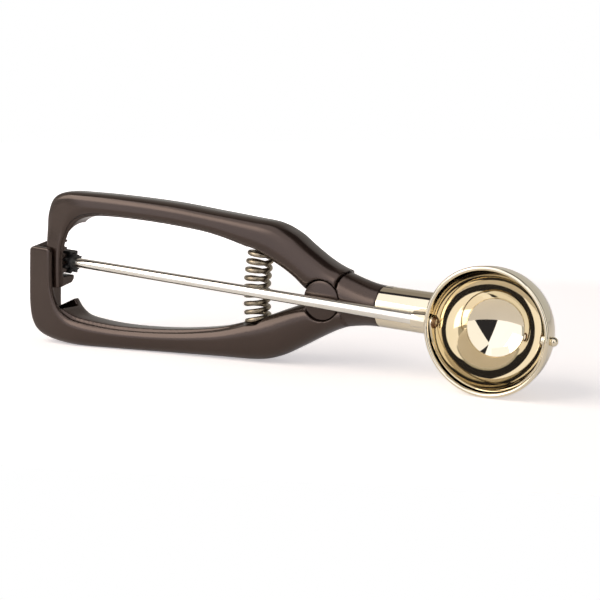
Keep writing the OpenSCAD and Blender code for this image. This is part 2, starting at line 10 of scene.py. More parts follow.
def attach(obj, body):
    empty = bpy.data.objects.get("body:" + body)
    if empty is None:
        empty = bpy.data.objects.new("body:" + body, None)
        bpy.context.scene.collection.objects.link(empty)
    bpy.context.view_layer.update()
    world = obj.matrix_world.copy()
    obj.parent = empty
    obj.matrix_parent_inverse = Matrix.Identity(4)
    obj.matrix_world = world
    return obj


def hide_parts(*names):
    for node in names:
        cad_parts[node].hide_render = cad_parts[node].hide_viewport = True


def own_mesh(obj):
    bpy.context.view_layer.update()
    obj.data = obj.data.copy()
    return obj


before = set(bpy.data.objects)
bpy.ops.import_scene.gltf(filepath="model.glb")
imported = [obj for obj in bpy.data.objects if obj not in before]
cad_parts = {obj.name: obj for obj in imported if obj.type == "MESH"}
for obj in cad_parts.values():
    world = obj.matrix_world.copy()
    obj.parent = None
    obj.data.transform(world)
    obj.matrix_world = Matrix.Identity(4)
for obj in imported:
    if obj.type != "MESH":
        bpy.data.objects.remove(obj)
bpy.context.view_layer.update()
MM = 0.001

# ---- Sizes in millimetres, as in the model's source ----
PIVOT_X = -66.0
NECK_X = -44.0
BUTT_X = -197.5
ARM_X0, ARM_X1 = -191.0, -183.0
NECK_BACK = 10.4
BUTT_Y = -2.35
BUTT_HALF_W = 7.7
ARM_HALF_W = 5.25
RAIL_HALF_W = 6.8
CHANNEL_FRONT = -7.95
RACK_ROOT_Y = -5.25
TIP_R, PITCH_R, BASE_R, ROOT_R = 4.95, 4.0, 3.7588, 2.8
TEETH = 8
PITCH = math.pi
RACK_ARM = 121.0
STROKE = 11.4323
SQUEEZE = 5.42149
FOOT_LOW = -10.3
EYE_T, EYE_GAP = 4.6, 0.2
EAR_R = 7.3
CAP_T = 1.5
SEAM_X, SEAM_Z, SEAM_R = 13.2, 5.8, 7.2
SPRING_ARM, SPRING_LOW, SPRING_HIGH = 30.3, -11.0, 12.6
BOW_R = 70.0
BOW_X = PIVOT_X - SPRING_ARM + BOW_R
WIRE_R, COIL_R, TURNS = 0.95, 4.25, 8.5
SPRING_Z0 = math.sin(math.radians(SPRING_LOW))
SPRING_KEEP = 0.888
FERRULE_R, FERRULE_WALL = 7.35, 0.8
BOWL_R, BOWL_WALL, MOUTH, BEAD_R = 21.2, 0.8, 2.8, 0.75
SCRAPER_R, SCRAPER_WALL = 20.05, 0.7
BAND_W, BAND_EAR, PARK = 7.4, 5.0, 8.0
ROD_R, JOURNAL_R = 2.0, 1.4
RUN_PLAY = 0.06
END_WALL, PLATE_T = 3.2, 2.1
RACK_TEETH, RACK_FIRST = 7, -1.0
TOOTH_SHARE, PRESSURE_ANGLE, ADDENDUM, DEDENDUM = 0.4, 20, 0.95, 1.45
PINION_X0 = ARM_X0 + 0.9
PINION_X1 = PINION_X0 + 9.4
HUB_FLANGE = 1.4
COLLAR_FROM, COLLAR_TO, COLLAR_WALL = 0.5, 5.7, 0.75

# ---- How the meshes are made ----
FAR = 60
SKIN_VOXEL, SKIN_PASSES = 0.36, 4
SPRING_POINTS_PER_TURN = 36
BUMP_DEPTH_M = 0.00002
SPRING_GAP_LOW, SPRING_GAP_HIGH = 0.06, 0.3

# ---- The handles' middle plane, which leans and ends flat at the housing ----
LEAN = 0.05
LEAN_FROM = PIVOT_X + 6
FLAT_S = LEAN_FROM - (ARM_X1 + 2)
EASE = 7.0
BEND_S = FLAT_S - 2 * EASE
LEAN_BEND = (NECK_BACK - BUTT_Y - LEAN * (BEND_S + EASE)) / (BEND_S * (BEND_S + 2 * EASE))
END_SLOPE = LEAN + 2 * LEAN_BEND * BEND_S


def mid_y(x):
    s = LEAN_FROM - x
    if s <= 0:
        return NECK_BACK - LEAN * s
    if s <= BEND_S:
        return NECK_BACK - LEAN * s - LEAN_BEND * s * s
    return BUTT_Y + END_SLOPE * max(0.0, FLAT_S - s) ** 2 / (4 * EASE)


PIVOT_Y = mid_y(PIVOT_X)
EAR_FRONT_Y = PIVOT_Y - RAIL_HALF_W + 0.1 + CAP_T
EAR_REAR_Y = 2 * PIVOT_Y - EAR_FRONT_Y
SPRING_Y = mid_y(PIVOT_X - SPRING_ARM)
NECK_DIR = Vector((1, LEAN, 0)).normalized()

# Rows of a rail: outer x, outer z, inner x, inner z (x from the pivot), half width,
# squareness, depth of the groove along the inner front edge
W, BW, AW = RAIL_HALF_W, BUTT_HALF_W, ARM_HALF_W
LOWER_ROWS = [
    (-131.8, 12, -120, 12, BW, 12, 0), (-131.8, 2, -120, 2, BW, 12, 0),
    (-132, -8, -119.9, -6, BW, 12, 0), (-131.9, -17, -119.4, -11, BW, 12, 0),
    (-130.2, -25.8, -117, -16.4, BW, 9, 0.3), (-124.6, -30.8, -112.4, -19.7, BW, 5, 0.9),
    (-111, -32.6, -105.5, -21.4, W + 0.6, 3.6, 1.2), (-90, -31.6, -88, -22.2, W + 0.3, 3.2, 1.2),
    (-66, -29.9, -66, -20.5, W, 3, 1.1), (-43, -28.1, -45, -16.8, W, 3, 0.8),
    (-27, -26.8, -31, -12.1, W, 3, 0.3), (-18.5, -24.4, -23, -9, W, 2.9, 0),
    (-10.5, -19.9, -15.5, -5.6, W, 2.8, 0), (-2.5, -15, -8, -2.6, W + 0.1, 2.6, 0),
    (4, -11.3, 0, -1.6, W + 0.2, 2.4, 0), (9.5, -8.9, 8, -0.5, W + 0.2, 2.2, 0)]
NECK_ROWS = [
    (2.5, -11.5, 2.5, 12.4, W + 0.2, 2.3, 0), (7.5, -9.6, 7.5, 10.6, W + 0.3, 2.2, 0),
    (12.5, -8.4, 12.5, 9.1, FERRULE_R - 0.15, 2.1, 0),
    (17.5, -FERRULE_R - 0.25, 17.5, FERRULE_R + 0.55, FERRULE_R - 0.05, 2.05, 0),
    (22, -FERRULE_R, 22, FERRULE_R + 0.05, FERRULE_R, 2, 0)]
A0, A1 = ARM_X0 - PIVOT_X, ARM_X1 - PIVOT_X
UPPER_ROWS = [
    (A0, FOOT_LOW, A1 - 0.2, FOOT_LOW, AW, 7, 0),
    (A0, FOOT_LOW + 1.5, A1, FOOT_LOW + 1.5, AW, 7, 0.3), (A0, -2, A1, -2, AW, 7, 0.9),
    (A0, 4, A1 + 0.2, 4, AW, 7, 0.9), (A0 + 0.1, 9, A1 + 1.4, 8.8, AW, 6, 0.9),
    (-124.8, 14, -113.8, 12.9, AW, 5, 0.9), (-124.3, 20, -111.6, 16.2, AW + 0.2, 4.6, 0.9),
    (-121.6, 26.3, -108, 18.8, AW + 0.5, 4, 0.9), (-115.4, 29.3, -103.2, 20.3, AW + 0.9, 3.4, 0.9),
    (-104, 29.9, -97, 21, W - 0.3, 3.2, 0.9), (-86, 29.8, -85, 21.1, W, 3.1, 0.9),
    (-66, 29.1, -67, 20.4, W, 3, 0.9), (-48, 27.7, -50, 18.9, W, 3, 0.7),
    (-32, 26.5, -36, 15.9, W, 3, 0.3), (-22, 25.6, -27, 13.2, W, 2.9, 0),
    (-14.3, 22.8, -19, 9.6, W, 2.8, 0), (-8, 18.7, -13, 6.2, W, 2.7, 0),
    (-1.3, 14.7, -7, 2, W + 0.1, 2.6, 0), (4.5, 12.1, 1, 0.8, W + 0.2, 2.4, 0),
    (10.5, 10.5, 9.5, 1, W + 0.3, 2.2, 0)]


# ---- Mesh helpers; all take millimetres and make objects in metres ----
def link(mesh, name):
    obj = bpy.data.objects.new(name, mesh)
    bpy.context.scene.collection.objects.link(obj)
    return obj


def mesh_object(name, verts, faces, smooth=True, sharp=None):
    mesh = bpy.data.meshes.new(name)
    mesh.from_pydata([Vector(v) * MM for v in verts], [], faces)
    bm = bmesh.new()
    bm.from_mesh(mesh)
    bmesh.ops.remove_doubles(bm, verts=bm.verts, dist=1e-7)
    bmesh.ops.recalc_face_normals(bm, faces=bm.faces)
    bm.to_mesh(mesh)
    bm.free()
    finish_mesh(mesh, smooth, sharp)
    return link(mesh, name)


def finish_mesh(mesh, smooth=True, sharp=None):
    mesh.polygons.foreach_set("use_smooth", [smooth] * len(mesh.polygons))
    if sharp is not None:
        mesh.set_sharp_from_angle(angle=math.radians(sharp))
    mesh.update()


def baked(obj, name=None):
    """The evaluated object as a plain mesh; the source object goes away."""
    bpy.context.view_layer.update()
    graph = bpy.context.evaluated_depsgraph_get()
    mesh = bpy.data.meshes.new_from_object(obj.evaluated_get(graph), depsgraph=graph)
    name = name or obj.name
    bpy.data.objects.remove(obj)
    mesh.name = name
    return link(mesh, name)


def smooth_rows(rows, steps):
    rows = [np.array(r, float) for r in rows]
    last = len(rows) - 1
    out = []
    for i in range(last):
        a, b, c, d = rows[max(i - 1, 0)], rows[i], rows[i + 1], rows[min(i + 2, last)]
        for k in range(steps):
            t = k / steps
            out.append(0.5 * (2 * b + (c - a) * t + (2 * a - 5 * b + 4 * c - d) * t * t
                              + (3 * b - a - 3 * c + d) * t ** 3))
    return out + [rows[-1]]


def groove_share(deg):
    """1 on the floor of the groove, 0 on the section's own outline."""
    return max(0.0, min(1.0, min(deg - 199.5, 220.5 - deg) / 1.6))


SECTION_ANGLES = sorted([4 * i + 2.0 for i in range(90)] + [199.5, 201.1, 218.9, 220.5])


def section(row):
    ox, oz, ix, iz, half, square, groove = row
    ox, ix = ox + PIVOT_X, ix + PIVOT_X
    points = []
    for deg in SECTION_ANGLES:
        a = math.radians(deg)
        u = math.copysign(abs(math.cos(a)) ** (2 / square), math.cos(a))
        v = math.copysign(abs(math.sin(a)) ** (2 / square), math.sin(a))
        u += groove_share(deg) * 2 * groove / math.hypot(ox - ix, oz - iz)
        x = (ox + ix) / 2 + (ox - ix) / 2 * u
        points.append((x, mid_y(x) + half * v, (oz + iz) / 2 + (oz - iz) / 2 * u))
    return points


def skin(rings, wrap=False):
    """Faces between rings of points; the ends are closed, or the last ring meets the first."""
    n, m = len(rings[0]), len(rings)
    verts = [p for r in rings for p in r]
    faces = [(j % m * n + i, j % m * n + (i + 1) % n, (j + 1) % m * n + (i + 1) % n,
              (j + 1) % m * n + i) for j in range(m if wrap else m - 1) for i in range(n)]
    if not wrap:
        faces += [tuple(range(n)), tuple((m - 1) * n + i for i in reversed(range(n)))]
    return verts, faces


def rail(name, rows):
    return mesh_object(name, *skin([section(r) for r in smooth_rows(rows, 8)]))


def turned(name, profile, origin, axis, sides=96, sharp=35, wrap=False):
    """A turned solid: profile is a list of (distance along the axis, radius)."""
    axis = Vector(axis).normalized()
    side = axis.orthogonal().normalized()
    up = axis.cross(side)
    origin = Vector(origin)
    rings = [[origin + axis * h + (side * math.cos(a) + up * math.sin(a)) * max(r, 1e-4)
              for a in (2 * math.pi * i / sides for i in range(sides))] for h, r in profile]
    return mesh_object(name, *skin(rings, wrap=wrap), sharp=sharp)


def arc(cx, cy, r, a0, a1, n):
    """Points (x, y) on an arc, angles in degrees."""
    return [(cx + r * math.cos(math.radians(a0 + (a1 - a0) * k / n)),
             cy + r * math.sin(math.radians(a0 + (a1 - a0) * k / n))) for k in range(n + 1)]


def drum(y0, y1, r, x=PIVOT_X, z=0.0):
    """A cylinder along Y."""
    return turned("cutter", [(y0, r), (y1, r)], (x, 0, z), (0, 1, 0), 128)


def block(low, high):
    (x0, y0, z0), (x1, y1, z1) = low, high
    ring0 = [(x0, y0, z0), (x1, y0, z0), (x1, y1, z0), (x0, y1, z0)]
    ring1 = [(x0, y0, z1), (x1, y0, z1), (x1, y1, z1), (x0, y1, z1)]
    return mesh_object("cutter", *skin([ring0, ring1]), smooth=False)


def prism(outline, x0, x1):
    """An outline in Y and Z, drawn along X."""
    rings = [[(x, y, z) for y, z in outline] for x in (x0, x1)]
    return mesh_object("cutter", *skin(rings), smooth=False)


def moved(obj, matrix):
    obj.data.transform(matrix)
    return obj


def about(x, deg):
    """A turn about a line along Y through x that lifts points left of it."""
    place = Matrix.Translation(Vector((x, 0, 0)) * MM)
    return place @ Matrix.Rotation(math.radians(deg), 4, "Y") @ place.inverted()


def combined(obj, steps):
    """Boolean steps with closed cutters, in order."""
    for operation, tool in steps:
        modifier = obj.modifiers.new("shape", "BOOLEAN")
        modifier.operation = operation
        modifier.solver = "EXACT"
        modifier.object = tool
    result = baked(obj)
    for _, tool in steps:
        bpy.data.objects.remove(tool)
    return result


def moulded(obj):
    """Even skin with softly rounded edges, as a moulding has."""
    remesh = obj.modifiers.new("skin", "REMESH")
    remesh.mode = "VOXEL"
    remesh.voxel_size = SKIN_VOXEL * MM
    remesh.use_smooth_shade = True
    soften = obj.modifiers.new("soften", "SMOOTH")
    soften.factor = 0.5
    soften.iterations = SKIN_PASSES
    obj = baked(obj)
    finish_mesh(obj.data)
    return obj


# ---- Shader groups ----
def new_group(name, inputs, outputs):
    tree = bpy.data.node_groups.new(name, "ShaderNodeTree")
    for label, kind, value in inputs:
        socket = tree.interface.new_socket(label, in_out="INPUT", socket_type=kind)
        if value is not None:
            socket.default_value = value
    for label, kind in outputs:
        tree.interface.new_socket(label, in_out="OUTPUT", socket_type=kind)
    return tree, tree.nodes.new("NodeGroupInput"), tree.nodes.new("NodeGroupOutput")


def node(tree, kind, settings=None, **values):
    made = tree.nodes.new(kind)
    for key, value in (settings or {}).items():
        setattr(made, key, value)
    for key, value in values.items():
        made.inputs[key.replace("_", " ")].default_value = value
    return made


def math_node(tree, operation, a, b):
    made = node(tree, "ShaderNodeMath", {"operation": operation})
    for socket, value in zip(made.inputs, (a, b)):
        if isinstance(value, (int, float)):
            socket.default_value = value
        else:
            tree.links.new(value, socket)
    return made.outputs[0]


def noise(tree, vector, scale, detail, rough=0.5):
    made = node(tree, "ShaderNodeTexNoise", Detail=detail, Roughness=rough)
    tree.links.new(vector, made.inputs["Vector"])
    if isinstance(scale, (int, float)):
        made.inputs["Scale"].default_value = scale
    else:
        tree.links.new(scale, made.inputs["Scale"])
    return made.outputs["Fac"]


def make_mottle_group():
    """Two tones that drift over a surface, with fine specks of dust on top."""
    tree, gin, gout = new_group(
        "tone_drift",
        [("Vector", "NodeSocketVector", None), ("Tone A", "NodeSocketColor", (0.5, 0.5, 0.5, 1)),
         ("Tone B", "NodeSocketColor", (0.4, 0.4, 0.4, 1)),
         ("Patch Scale", "NodeSocketFloat", 60.0), ("Dust", "NodeSocketFloat", 0.1),
         ("Dust Tone", "NodeSocketColor", (0.6, 0.57, 0.52, 1))],
        [("Color", "NodeSocketColor"), ("Mask", "NodeSocketFloat")])
    patches = noise(tree, gin.outputs["Vector"], gin.outputs["Patch Scale"], 4.0)
    spread = node(tree, "ShaderNodeMapRange", From_Min=0.35, From_Max=0.65)
    tree.links.new(patches, spread.inputs["Value"])
    tones = node(tree, "ShaderNodeMix", {"data_type": "RGBA"})
    tree.links.new(spread.outputs["Result"], tones.inputs["Factor"])
    tree.links.new(gin.outputs["Tone A"], tones.inputs["A"])
    tree.links.new(gin.outputs["Tone B"], tones.inputs["B"])
    specks = noise(tree, gin.outputs["Vector"], 2600.0, 2.0, 0.7)
    speck_mask = node(tree, "ShaderNodeMapRange", From_Min=0.68, From_Max=0.78)
    tree.links.new(specks, speck_mask.inputs["Value"])
    dust = math_node(tree, "MULTIPLY", speck_mask.outputs["Result"], gin.outputs["Dust"])
    dusted = node(tree, "ShaderNodeMix", {"data_type": "RGBA"})
    tree.links.new(dust, dusted.inputs["Factor"])
    tree.links.new(tones.outputs["Result"], dusted.inputs["A"])
    tree.links.new(gin.outputs["Dust Tone"], dusted.inputs["B"])
    tree.links.new(dusted.outputs["Result"], gout.inputs["Color"])
    tree.links.new(spread.outputs["Result"], gout.inputs["Mask"])
    return tree


def make_handling_group():
    """Roughness of a handled surface: a base value, wide smears and fine wiping marks."""
    tree, gin, gout = new_group(
        "handled_gloss",
        [("Vector", "NodeSocketVector", None), ("Base", "NodeSocketFloat", 0.2),
         ("Smears", "NodeSocketFloat", 0.08), ("Smear Scale", "NodeSocketFloat", 90.0),
         ("Wipes", "NodeSocketFloat", 0.04)],
        [("Roughness", "NodeSocketFloat")])
    smears = noise(tree, gin.outputs["Vector"], gin.outputs["Smear Scale"], 5.0, 0.6)
    stretch = node(tree, "ShaderNodeMapping", Scale=(1.0, 9.0, 9.0))
    tree.links.new(gin.outputs["Vector"], stretch.inputs["Vector"])
    wipes = noise(tree, stretch.outputs["Vector"], 700.0, 3.0, 0.6)
    wide, fine = (
        math_node(tree, "MULTIPLY", math_node(tree, "SUBTRACT", marks, 0.5), gin.outputs[label])
        for marks, label in ((smears, "Smears"), (wipes, "Wipes")))
    total = math_node(tree, "ADD", gin.outputs["Base"], math_node(tree, "ADD", wide, fine))
    tree.links.new(math_node(tree, "MAXIMUM", total, 0.02), gout.inputs["Roughness"])
    return tree


def make_grain_group():
    """Height of a fine even grain with a slow ripple, for a Bump node."""
    tree, gin, gout = new_group(
        "moulded_grain",
        [("Vector", "NodeSocketVector", None), ("Grain Scale", "NodeSocketFloat", 1800.0),
         ("Ripple Scale", "NodeSocketFloat", 120.0), ("Ripple", "NodeSocketFloat", 0.6)],
        [("Height", "NodeSocketFloat")])
    grain = noise(tree, gin.outputs["Vector"], gin.outputs["Grain Scale"], 3.0)
    ripple = noise(tree, gin.outputs["Vector"], gin.outputs["Ripple Scale"], 1.0)
    slow = math_node(tree, "MULTIPLY", ripple, gin.outputs["Ripple"])
    tree.links.new(math_node(tree, "ADD", grain, slow), gout.inputs["Height"])
    return tree


TONE_DRIFT = make_mottle_group()
HANDLED_GLOSS = make_handling_group()
MOULDED_GRAIN = make_grain_group()


def use_group(tree, group, vector, **values):
    made = tree.nodes.new("ShaderNodeGroup")
    made.node_tree = group
    tree.links.new(vector, made.inputs["Vector"])
    for key, value in values.items():
        made.inputs[key.replace("_", " ")].default_value = value
    return made


def finish_material(name, tone_a, tone_b, metallic=0.0, gloss=0.2, smears=0.08, wipes=0.04,
                    smear_scale=90.0, patch_scale=60.0, dust=0.0, grain_scale=1800.0,
                    ripple_scale=120.0, ripple=0.6, bump=0.05, ior=1.5, sheen=(1, 1, 1)):
    material = bpy.data.materials.new(name)
    material.use_nodes = True
    tree = material.node_tree
    shader = tree.nodes["Principled BSDF"]
    shader.inputs["Metallic"].default_value = metallic
    shader.inputs["IOR"].default_value = ior
    shader.inputs["Specular Tint"].default_value = (*sheen, 1)
    place = tree.nodes.new("ShaderNodeTexCoord").outputs["Object"]
    tones = use_group(tree, TONE_DRIFT, place, Tone_A=(*tone_a, 1), Tone_B=(*tone_b, 1),
                      Patch_Scale=patch_scale, Dust=dust)
    tree.links.new(tones.outputs["Color"], shader.inputs["Base Color"])
    handled = use_group(tree, HANDLED_GLOSS, place, Base=gloss, Smears=smears,
                        Smear_Scale=smear_scale, Wipes=wipes)
    tree.links.new(handled.outputs["Roughness"], shader.inputs["Roughness"])
    grain = use_group(tree, MOULDED_GRAIN, place, Grain_Scale=grain_scale,
                      Ripple_Scale=ripple_scale, Ripple=ripple)
    relief = node(tree, "ShaderNodeBump", Strength=bump, Distance=BUMP_DEPTH_M)
    tree.links.new(grain.outputs["Height"], relief.inputs["Height"])
    tree.links.new(relief.outputs["Normal"], shader.inputs["Normal"])
    return material


BROWN = finish_material("brown_moulding", (0.021, 0.0125, 0.0095), (0.017, 0.010, 0.0075),
                        gloss=0.21, smears=0.10, wipes=0.05, dust=0.02, bump=0.12, ior=1.66,
                        sheen=(1.0, 0.79, 0.70))
CHROME = finish_material("warm_chrome", (0.82, 0.74, 0.585), (0.79, 0.71, 0.55), metallic=1.0,
                         gloss=0.045, smears=0.03, wipes=0.015, dust=0.0, bump=0.015,
                         ripple_scale=60.0, ripple=1.0, grain_scale=900.0)
BRIGHT_STEEL = finish_material("drawn_rod", (0.88, 0.86, 0.80), (0.80, 0.77, 0.70), metallic=1.0,
                               gloss=0.14, smears=0.06, wipes=0.06, bump=0.03, grain_scale=2400.0)
SPRING_STEEL = finish_material("oiled_spring_wire", (0.34, 0.29, 0.21), (0.24, 0.20, 0.15),
                               metallic=1.0, gloss=0.27, smears=0.12, wipes=0.06,
                               patch_scale=240.0, bump=0.06)
BLACK = finish_material("black_moulding", (0.014, 0.014, 0.015), (0.02, 0.019, 0.019), gloss=0.42,
                        smears=0.12, dust=0.06, bump=0.15)
NATURAL = finish_material("acetal_bush", (0.60, 0.55, 0.46), (0.54, 0.49, 0.40), gloss=0.38,
                          dust=0.04, bump=0.1)
TURNED = finish_material("turned_steel", (0.56, 0.56, 0.57), (0.48, 0.48, 0.50), metallic=1.0,
                         gloss=0.28, bump=0.05)
COPPER = finish_material("tarnished_copper", (0.26, 0.15, 0.07), (0.16, 0.08, 0.04), metallic=1.0,
                         gloss=0.3, smears=0.2, patch_scale=900.0, bump=0.1)


def dress(obj, material, body, slot, *replaced):
    obj.data.materials.clear()
    obj.data.materials.append(material)
    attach(obj, body)
    if replaced:
        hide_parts(*replaced)
    return obj


# ---- Geometry Nodes: a named modifier input is set by its identifier ----
def new_geometry_tree(name, inputs):
    tree = bpy.data.node_groups.new(name, "GeometryNodeTree")
    tree.interface.new_socket("Geometry", in_out="INPUT", socket_type="NodeSocketGeometry")
    for label, kind, value in inputs:
        socket = tree.interface.new_socket(label, in_out="INPUT", socket_type=kind)
        if value is not None:
            socket.default_value = value
    tree.interface.new_socket("Geometry", in_out="OUTPUT", socket_type="NodeSocketGeometry")
    return tree, tree.nodes.new("NodeGroupInput"), tree.nodes.new("NodeGroupOutput")


def end_tree(tree, gin, gout, geometry):
    """Realize Instances, Set Material, output."""
    realize = tree.nodes.new("GeometryNodeRealizeInstances")
    paint = tree.nodes.new("GeometryNodeSetMaterial")
    tree.links.new(geometry, realize.inputs[0])
    tree.links.new(realize.outputs[0], paint.inputs["Geometry"])
    tree.links.new(gin.outputs["Material"], paint.inputs["Material"])
    tree.links.new(paint.outputs[0], gout.inputs[0])


def grown(name, source, tree, material, **values):
    """source with the tree run on it, as a plain mesh."""
    modifier = source.modifiers.new("grow", "NODES")
    modifier.node_group = tree
    wanted = {**values, "Material": material}
    for item in tree.interface.items_tree:
        if item.in_out == "INPUT" and item.name in wanted:
            modifier[item.identifier] = wanted[item.name]
    result = baked(source, name)
    finish_mesh(result.data)
    return result


def vector_of(tree, x, y, z):
    made = tree.nodes.new("ShaderNodeCombineXYZ")
    for socket, value in zip(made.inputs, (x, y, z)):
        if isinstance(value, (int, float)):
            socket.default_value = value
        else:
            tree.links.new(value, socket)
    return made.outputs[0]


def vector_sum(tree, a, b):
    made = tree.nodes.new("ShaderNodeVectorMath")
    tree.links.new(a, made.inputs[0])
    tree.links.new(b, made.inputs[1])
    return made.outputs[0]


def counted_points(tree, gin):
    """Count points, and the index of each."""
    points = tree.nodes.new("GeometryNodePoints")
    tree.links.new(gin.outputs["Count"], points.inputs["Count"])
    return points.outputs[0], tree.nodes.new("GeometryNodeInputIndex").outputs[0]


def put_source_on(tree, gin, points, turn):
    """The source mesh on each point, turned."""
    place = tree.nodes.new("GeometryNodeInstanceOnPoints")
    tree.links.new(points, place.inputs["Points"])
    tree.links.new(gin.outputs["Geometry"], place.inputs["Instance"])
    tree.links.new(turn, place.inputs["Rotation"])
    return place.outputs[0]


def make_ring_of_teeth():
    """The source tooth, repeated round the X axis, Count times."""
    tree, gin, gout = new_geometry_tree(
        "ring_of_teeth", [("Count", "NodeSocketInt", 8), ("Material", "NodeSocketMaterial", None)])
    points, index = counted_points(tree, gin)
    step = math_node(tree, "DIVIDE", 2 * math.pi, gin.outputs["Count"])
    turn = vector_of(tree, math_node(tree, "MULTIPLY", index, step), 0.0, 0.0)
    end_tree(tree, gin, gout, put_source_on(tree, gin, points, turn))
    return tree


def make_arc_of_teeth():
    """The source tooth, repeated on an arc about a pivot, Step radians apart."""
    tree, gin, gout = new_geometry_tree(
        "arc_of_teeth",
        [("Count", "NodeSocketInt", 7), ("First", "NodeSocketFloat", -1.0),
         ("Step", "NodeSocketFloat", 1.5), ("Pivot Distance", "NodeSocketFloat", 0.066),
         ("Material", "NodeSocketMaterial", None)])
    points, index = counted_points(tree, gin)
    steps = math_node(tree, "ADD", index, gin.outputs["First"])
    angle = math_node(tree, "MULTIPLY", steps, gin.outputs["Step"])
    far = gin.outputs["Pivot Distance"]
    back = math_node(tree, "MULTIPLY", math_node(tree, "COSINE", angle, 0), far)
    place_x = math_node(tree, "SUBTRACT", back, far)
    drop = math_node(tree, "MULTIPLY", math_node(tree, "SINE", angle, 0), far)
    place_z = math_node(tree, "MULTIPLY", drop, -1.0)
    shift = tree.nodes.new("GeometryNodeSetPosition")
    tree.links.new(points, shift.inputs["Geometry"])
    tree.links.new(vector_of(tree, place_x, 0.0, place_z), shift.inputs["Position"])
    turn = vector_of(tree, 0.0, angle, 0.0)
    end_tree(tree, gin, gout, put_source_on(tree, gin, shift.outputs[0], turn))
    return tree


def make_arc_coil():
    """A round wire wound at an even pitch along an arc of radius Arm about Centre."""
    tree, gin, gout = new_geometry_tree(
        "arc_coil",
        [("Turns", "NodeSocketFloat", 8.0), ("Points", "NodeSocketInt", 300),
         ("Coil Radius", "NodeSocketFloat", 0.004), ("Wire Radius", "NodeSocketFloat", 0.001),
         ("Arm", "NodeSocketFloat", 0.03), ("Start", "NodeSocketFloat", -0.4),
         ("End", "NodeSocketFloat", 0.4), ("Centre", "NodeSocketVector", None),
         ("Material", "NodeSocketMaterial", None)])
    line = node(tree, "GeometryNodeMeshLine")
    tree.links.new(gin.outputs["Points"], line.inputs["Count"])
    index = tree.nodes.new("GeometryNodeInputIndex").outputs[0]
    last = math_node(tree, "SUBTRACT", gin.outputs["Points"], 1)
    share = math_node(tree, "DIVIDE", index, last)
    span = math_node(tree, "SUBTRACT", gin.outputs["End"], gin.outputs["Start"])
    angle = math_node(tree, "ADD", gin.outputs["Start"], math_node(tree, "MULTIPLY", share, span))
    turn = math_node(tree, "MULTIPLY", math_node(tree, "MULTIPLY", share, gin.outputs["Turns"]),
                     2 * math.pi)
    out = math_node(tree, "ADD", gin.outputs["Arm"], math_node(
        tree, "MULTIPLY", gin.outputs["Coil Radius"], math_node(tree, "COSINE", turn, 0)))
    x = math_node(tree, "MULTIPLY", math_node(tree, "MULTIPLY", out, -1.0),
                  math_node(tree, "COSINE", angle, 0))
    y = math_node(tree, "MULTIPLY", gin.outputs["Coil Radius"],
                  math_node(tree, "MULTIPLY", math_node(tree, "SINE", turn, 0), -1.0))
    z = math_node(tree, "MULTIPLY", out, math_node(tree, "SINE", angle, 0))
    place = tree.nodes.new("GeometryNodeSetPosition")
    tree.links.new(line.outputs[0], place.inputs["Geometry"])
    tree.links.new(vector_sum(tree, vector_of(tree, x, y, z), gin.outputs["Centre"]),
                   place.inputs["Position"])
    curve = tree.nodes.new("GeometryNodeMeshToCurve")
    tree.links.new(place.outputs[0], curve.inputs[0])
    ring = node(tree, "GeometryNodeCurvePrimitiveCircle", Resolution=18)
    tree.links.new(gin.outputs["Wire Radius"], ring.inputs["Radius"])
    sweep = node(tree, "GeometryNodeCurveToMesh", Fill_Caps=True)
    tree.links.new(curve.outputs[0], sweep.inputs["Curve"])
    tree.links.new(ring.outputs[0], sweep.inputs["Profile Curve"])
    end_tree(tree, gin, gout, sweep.outputs[0])
    return tree


# ---- Lower handle ----
def seam_disc(grow, turn=0.0):
    disc = drum(-FAR, FAR, SEAM_R + grow, PIVOT_X + SEAM_X, SEAM_Z)
    return moved(disc, about(PIVOT_X, turn))


def spring_seat(angle, upward):
    """Cutter for the ring-shaped seat round a spring post."""
    seat_r, post_r, post_h = COIL_R + WIRE_R + 0.5, COIL_R - WIRE_R - 0.5, 2.6
    profile = [(post_h, 0), (post_h, post_r), (0, post_r), (0, seat_r), (12, seat_r), (12, 0)]
    way = 1 if upward else -1
    tool = turned("cutter", profile, (BOW_X - BOW_R, SPRING_Y, 0), (0, 0, way))
    return moved(tool, about(BOW_X, angle))


def lock_tab():
    """The pointed tongue that lies in the ferrule's slot."""
    tang_r = FERRULE_R - FERRULE_WALL
    outline = [(-1.5, -1.8), (3.5, -1.8), (5.5, 0), (3.5, 1.8), (-1.5, 1.8)]
    rings = [[(NECK_X + x, mid_y(NECK_X + x) + y, z) for x, y in outline]
             for z in (tang_r - 1, FERRULE_R - 0.05)]
    return mesh_object("tab", *skin(rings))


def housing_top():
    """All above the housing's top, which rises to the rear and has rounded corners."""
    r, inner, front = 2.2, BUTT_X + 11.6, CHANNEL_FRONT - PLATE_T
    outline = [(BUTT_X - 10, -r)] + arc(BUTT_X + r, -r, r, 180, 90, 12)
    outline += arc(inner - r, -r, r, 90, 0, 12) + [(inner + 20, -r), (inner + 20, 40)]
    outline += [(BUTT_X - 10, 40)]
    tilt = Matrix.Translation((0, front, 5.9)) @ Matrix.Rotation(math.radians(11), 4, "X")
    rings = [[tilt @ Vector((x, y, z)) for x, z in outline] for y in (-10, 40)]
    return mesh_object("cutter", *skin(rings), smooth=False)


